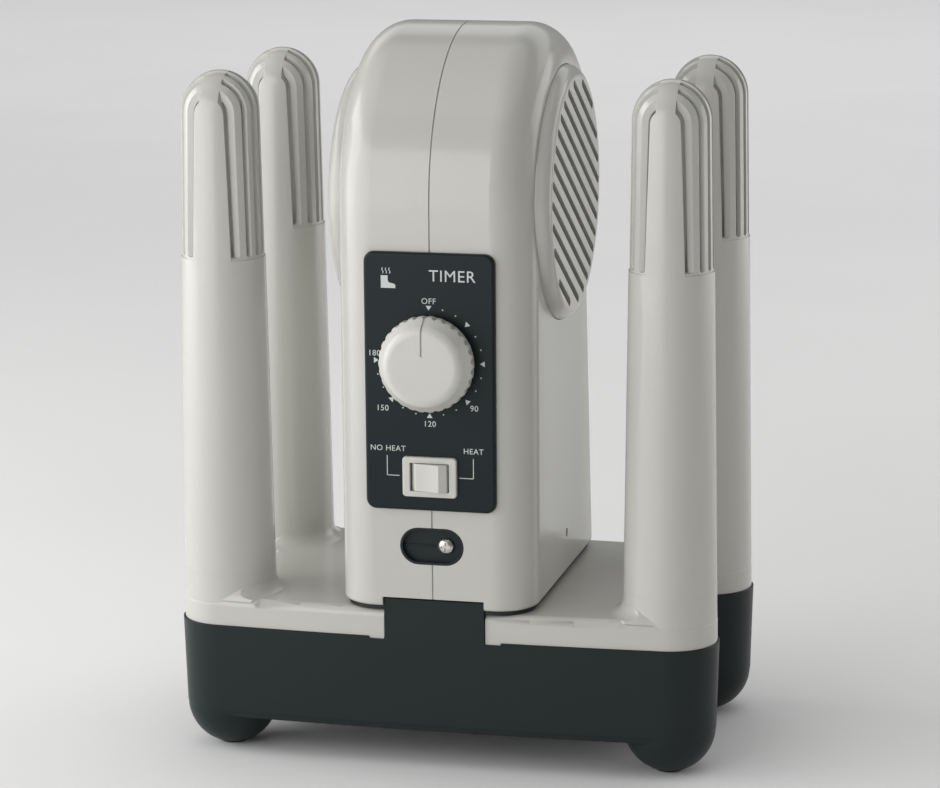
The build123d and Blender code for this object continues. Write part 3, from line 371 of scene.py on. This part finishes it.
def dial_marks():
    """Arrows every half hour and dots every ten minutes, from off to the last mark."""
    corners = [math.radians(360 / DOT_CORNERS * k) for k in range(DOT_CORNERS)]
    dots = []
    for angle in range(0, DIAL_SWEEP + 1, DOT_STEP):
        if angle % ARROW_STEP:
            cx, cz = ring_point(angle, DOT_RING)
            dots.append([(cx + DOT_R * math.cos(a), cz + DOT_R * math.sin(a)) for a in corners])
    outline_mark("dial_dots", dots, DIAL.x, DIAL.z)
    half = math.degrees(ARROW_HALF_WIDTH / ARROW_BACK)
    arrows = []
    for angle in range(0, DIAL_SWEEP + 1, ARROW_STEP):
        arrows.append([ring_point(angle, ARROW_TIP), ring_point(angle + half, ARROW_BACK),
                       ring_point(angle - half, ARROW_BACK)])
    outline_mark("dial_arrows", arrows, DIAL.x, DIAL.z)


def dial_numbers():
    """The word at the start of the dial and minutes at the later half hours."""
    printed_text("label_off", "OFF", 0, DIAL.z + OFF_RISE, NUMBER_HEIGHT)
    for words, angle, radius in NUMBERS:
        x, z = ring_point(angle, radius * MM)
        printed_text("label_" + words, words, x, DIAL.z + z, NUMBER_HEIGHT)


def switch_marks():
    """Two labels with thin angled lines that lead to the ends of the switch."""
    label_z = SWITCH.z + SWITCH_LABEL_RISE
    printed_text("label_no_heat", "NO HEAT", NO_HEAT_X, label_z, SWITCH_LABEL_HEIGHT)
    printed_text("label_heat", "HEAT", HEAT_X, label_z, SWITCH_LABEL_HEIGHT)
    for name, side, reach in LEAD_ENDS:
        x = side * LEAD_X
        up = bar(x, SWITCH.z, x, SWITCH.z + LEAD_RISE, LEAD_WIDTH)
        across = bar(x - side * LEAD_WIDTH / 2, SWITCH.z, side * reach, SWITCH.z, LEAD_WIDTH)
        outline_mark(name + "_up", [up], 0, 0)
        outline_mark(name + "_across", [across], 0, 0)


def pictogram():
    """Plain boot outline with three streams of air rising from it."""
    boot = [(x * MM, z * MM) for x, z in BOOT_OUTLINE]
    outline_mark("boot_mark", [boot], BOOT_X, PANEL_HIGH.z - BOOT_DROP)
    for k in range(AIR_STREAMS):
        left, right = [], []
        for step in range(AIR_STEPS + 1):
            rise = step / AIR_STEPS
            x = AIR_X + k * AIR_PITCH + AIR_SWAY * math.sin(2 * math.pi * rise)
            left.append((x - AIR_HALF_WIDTH, rise * AIR_HEIGHT))
            right.append((x + AIR_HALF_WIDTH, rise * AIR_HEIGHT))
        outline_mark("air_mark_%d" % (k + 1), [right + left[::-1]], 0, PANEL_HIGH.z - AIR_DROP)


def print_panel():
    """Every printed mark of the control panel."""
    dial_marks()
    dial_numbers()
    switch_marks()
    pictogram()
    printed_text("title", "TIMER", TITLE_X, PANEL_HIGH.z - TITLE_DROP, TITLE_HEIGHT)


# ================================================================ floor, light and camera
def make_floor():
    """Wide sheet of pale paper at the height of the feet."""
    mesh = bpy.data.meshes.new("floor")
    corners = [(x * FLOOR_HALF, y * FLOOR_HALF, 0) for x, y in ((-1, -1), (1, -1), (1, 1), (-1, 1))]
    mesh.from_pydata(corners, [], [(0, 1, 2, 3)])
    floor = bpy.data.objects.new("floor", mesh)
    bpy.context.scene.collection.objects.link(floor)
    m = Nodes("floor_paper")
    m.link(m.blend(m.spread(m.noise(scale=3, detail=2), 0, 1), *FLOOR_GREYS), m.base_colour)
    m.set(Roughness=0.85)
    mesh.materials.append(m.material)


def compass(azimuth, elevation):
    """Unit vector towards a light or camera; azimuth 0 faces the panel and grows to its right."""
    return Vector((math.sin(azimuth) * math.cos(elevation), -math.cos(azimuth) * math.cos(elevation),
                   math.sin(elevation)))


def area_light(name, width, height, power):
    """Rectangular light that shines straight down until it is turned."""
    data = bpy.data.lights.new(name, "AREA")
    data.shape = "RECTANGLE"
    data.size = width
    data.size_y = height
    data.energy = power
    light = bpy.data.objects.new(name, data)
    bpy.context.scene.collection.objects.link(light)
    return light


def soft_box(name, azimuth, elevation, width, height, power, colour=(1, 1, 1)):
    """Soft light that looks at the middle of the object."""
    light = area_light(name, width, height, power)
    light.data.color = colour
    offset = compass(math.radians(azimuth), math.radians(elevation)) * LIGHT_DISTANCE
    light.location = LIGHT_AIM + offset
    light.rotation_mode = "QUATERNION"
    light.rotation_quaternion = (-offset).to_track_quat("-Z", "Y")


def overhead(power):
    """Very soft light from straight above, which keeps the floor evenly pale."""
    data = bpy.data.lights.new("overhead", "SUN")
    data.energy = power
    data.angle = SUN_ANGLE
    light = bpy.data.objects.new("overhead", data)
    bpy.context.scene.collection.objects.link(light)
    light.location = (0, 0, LIGHT_DISTANCE)


def backdrop_light(power):
    """Wide light over the floor behind the object, so that the ground stays pale to the top."""
    area_light("backdrop", *BACKDROP_SIZE, power).location = BACKDROP_PLACE


def make_lights():
    """Large soft boxes round the object, a pale surround and the light over the floor."""
    soft_box("key", azimuth=-80, elevation=14, width=1.55, height=1.60, power=25, colour=(1.0, 0.995, 0.98))
    soft_box("front_fill", azimuth=-31, elevation=14, width=1.60, height=1.30, power=14)
    soft_box("rim", azimuth=122, elevation=9, width=1.9, height=1.0, power=9, colour=(1.0, 0.99, 0.97))
    overhead(power=0.6)
    backdrop_light(power=55)
    world = bpy.data.worlds.new("studio")
    bpy.context.scene.world = world
    world.use_nodes = True
    background = world.node_tree.nodes["Background"]
    background.inputs["Color"].default_value = (1.0, 1.0, 1.0, 1)
    background.inputs["Strength"].default_value = WORLD_STRENGTH


def make_camera():
    """Camera in front and a little to the right of the object, aimed at the tower's middle."""
    back = compass(CAMERA_AZIMUTH, CAMERA_ELEVATION)
    right = Vector((math.cos(CAMERA_AZIMUTH), math.sin(CAMERA_AZIMUTH), 0))
    up = back.cross(right)
    right_rolled = right * math.cos(CAMERA_ROLL) + up * math.sin(CAMERA_ROLL)
    up_rolled = up * math.cos(CAMERA_ROLL) - right * math.sin(CAMERA_ROLL)
    data = bpy.data.cameras.new("camera")
    data.sensor_width = CAMERA_SENSOR
    data.lens = CAMERA_LENS
    camera = bpy.data.objects.new("camera", data)
    bpy.context.scene.collection.objects.link(camera)
    turn = Matrix((right_rolled, up_rolled, back)).transposed().to_4x4()
    camera.matrix_world = Matrix.Translation(CAMERA_AIM + back * CAMERA_DISTANCE) @ turn
    bpy.context.scene.camera = camera


def main():
    bpy.context.scene.view_settings.view_transform = "Standard"
    paint_nodes()
    print_panel()
    make_floor()
    make_lights()
    make_camera()


main()
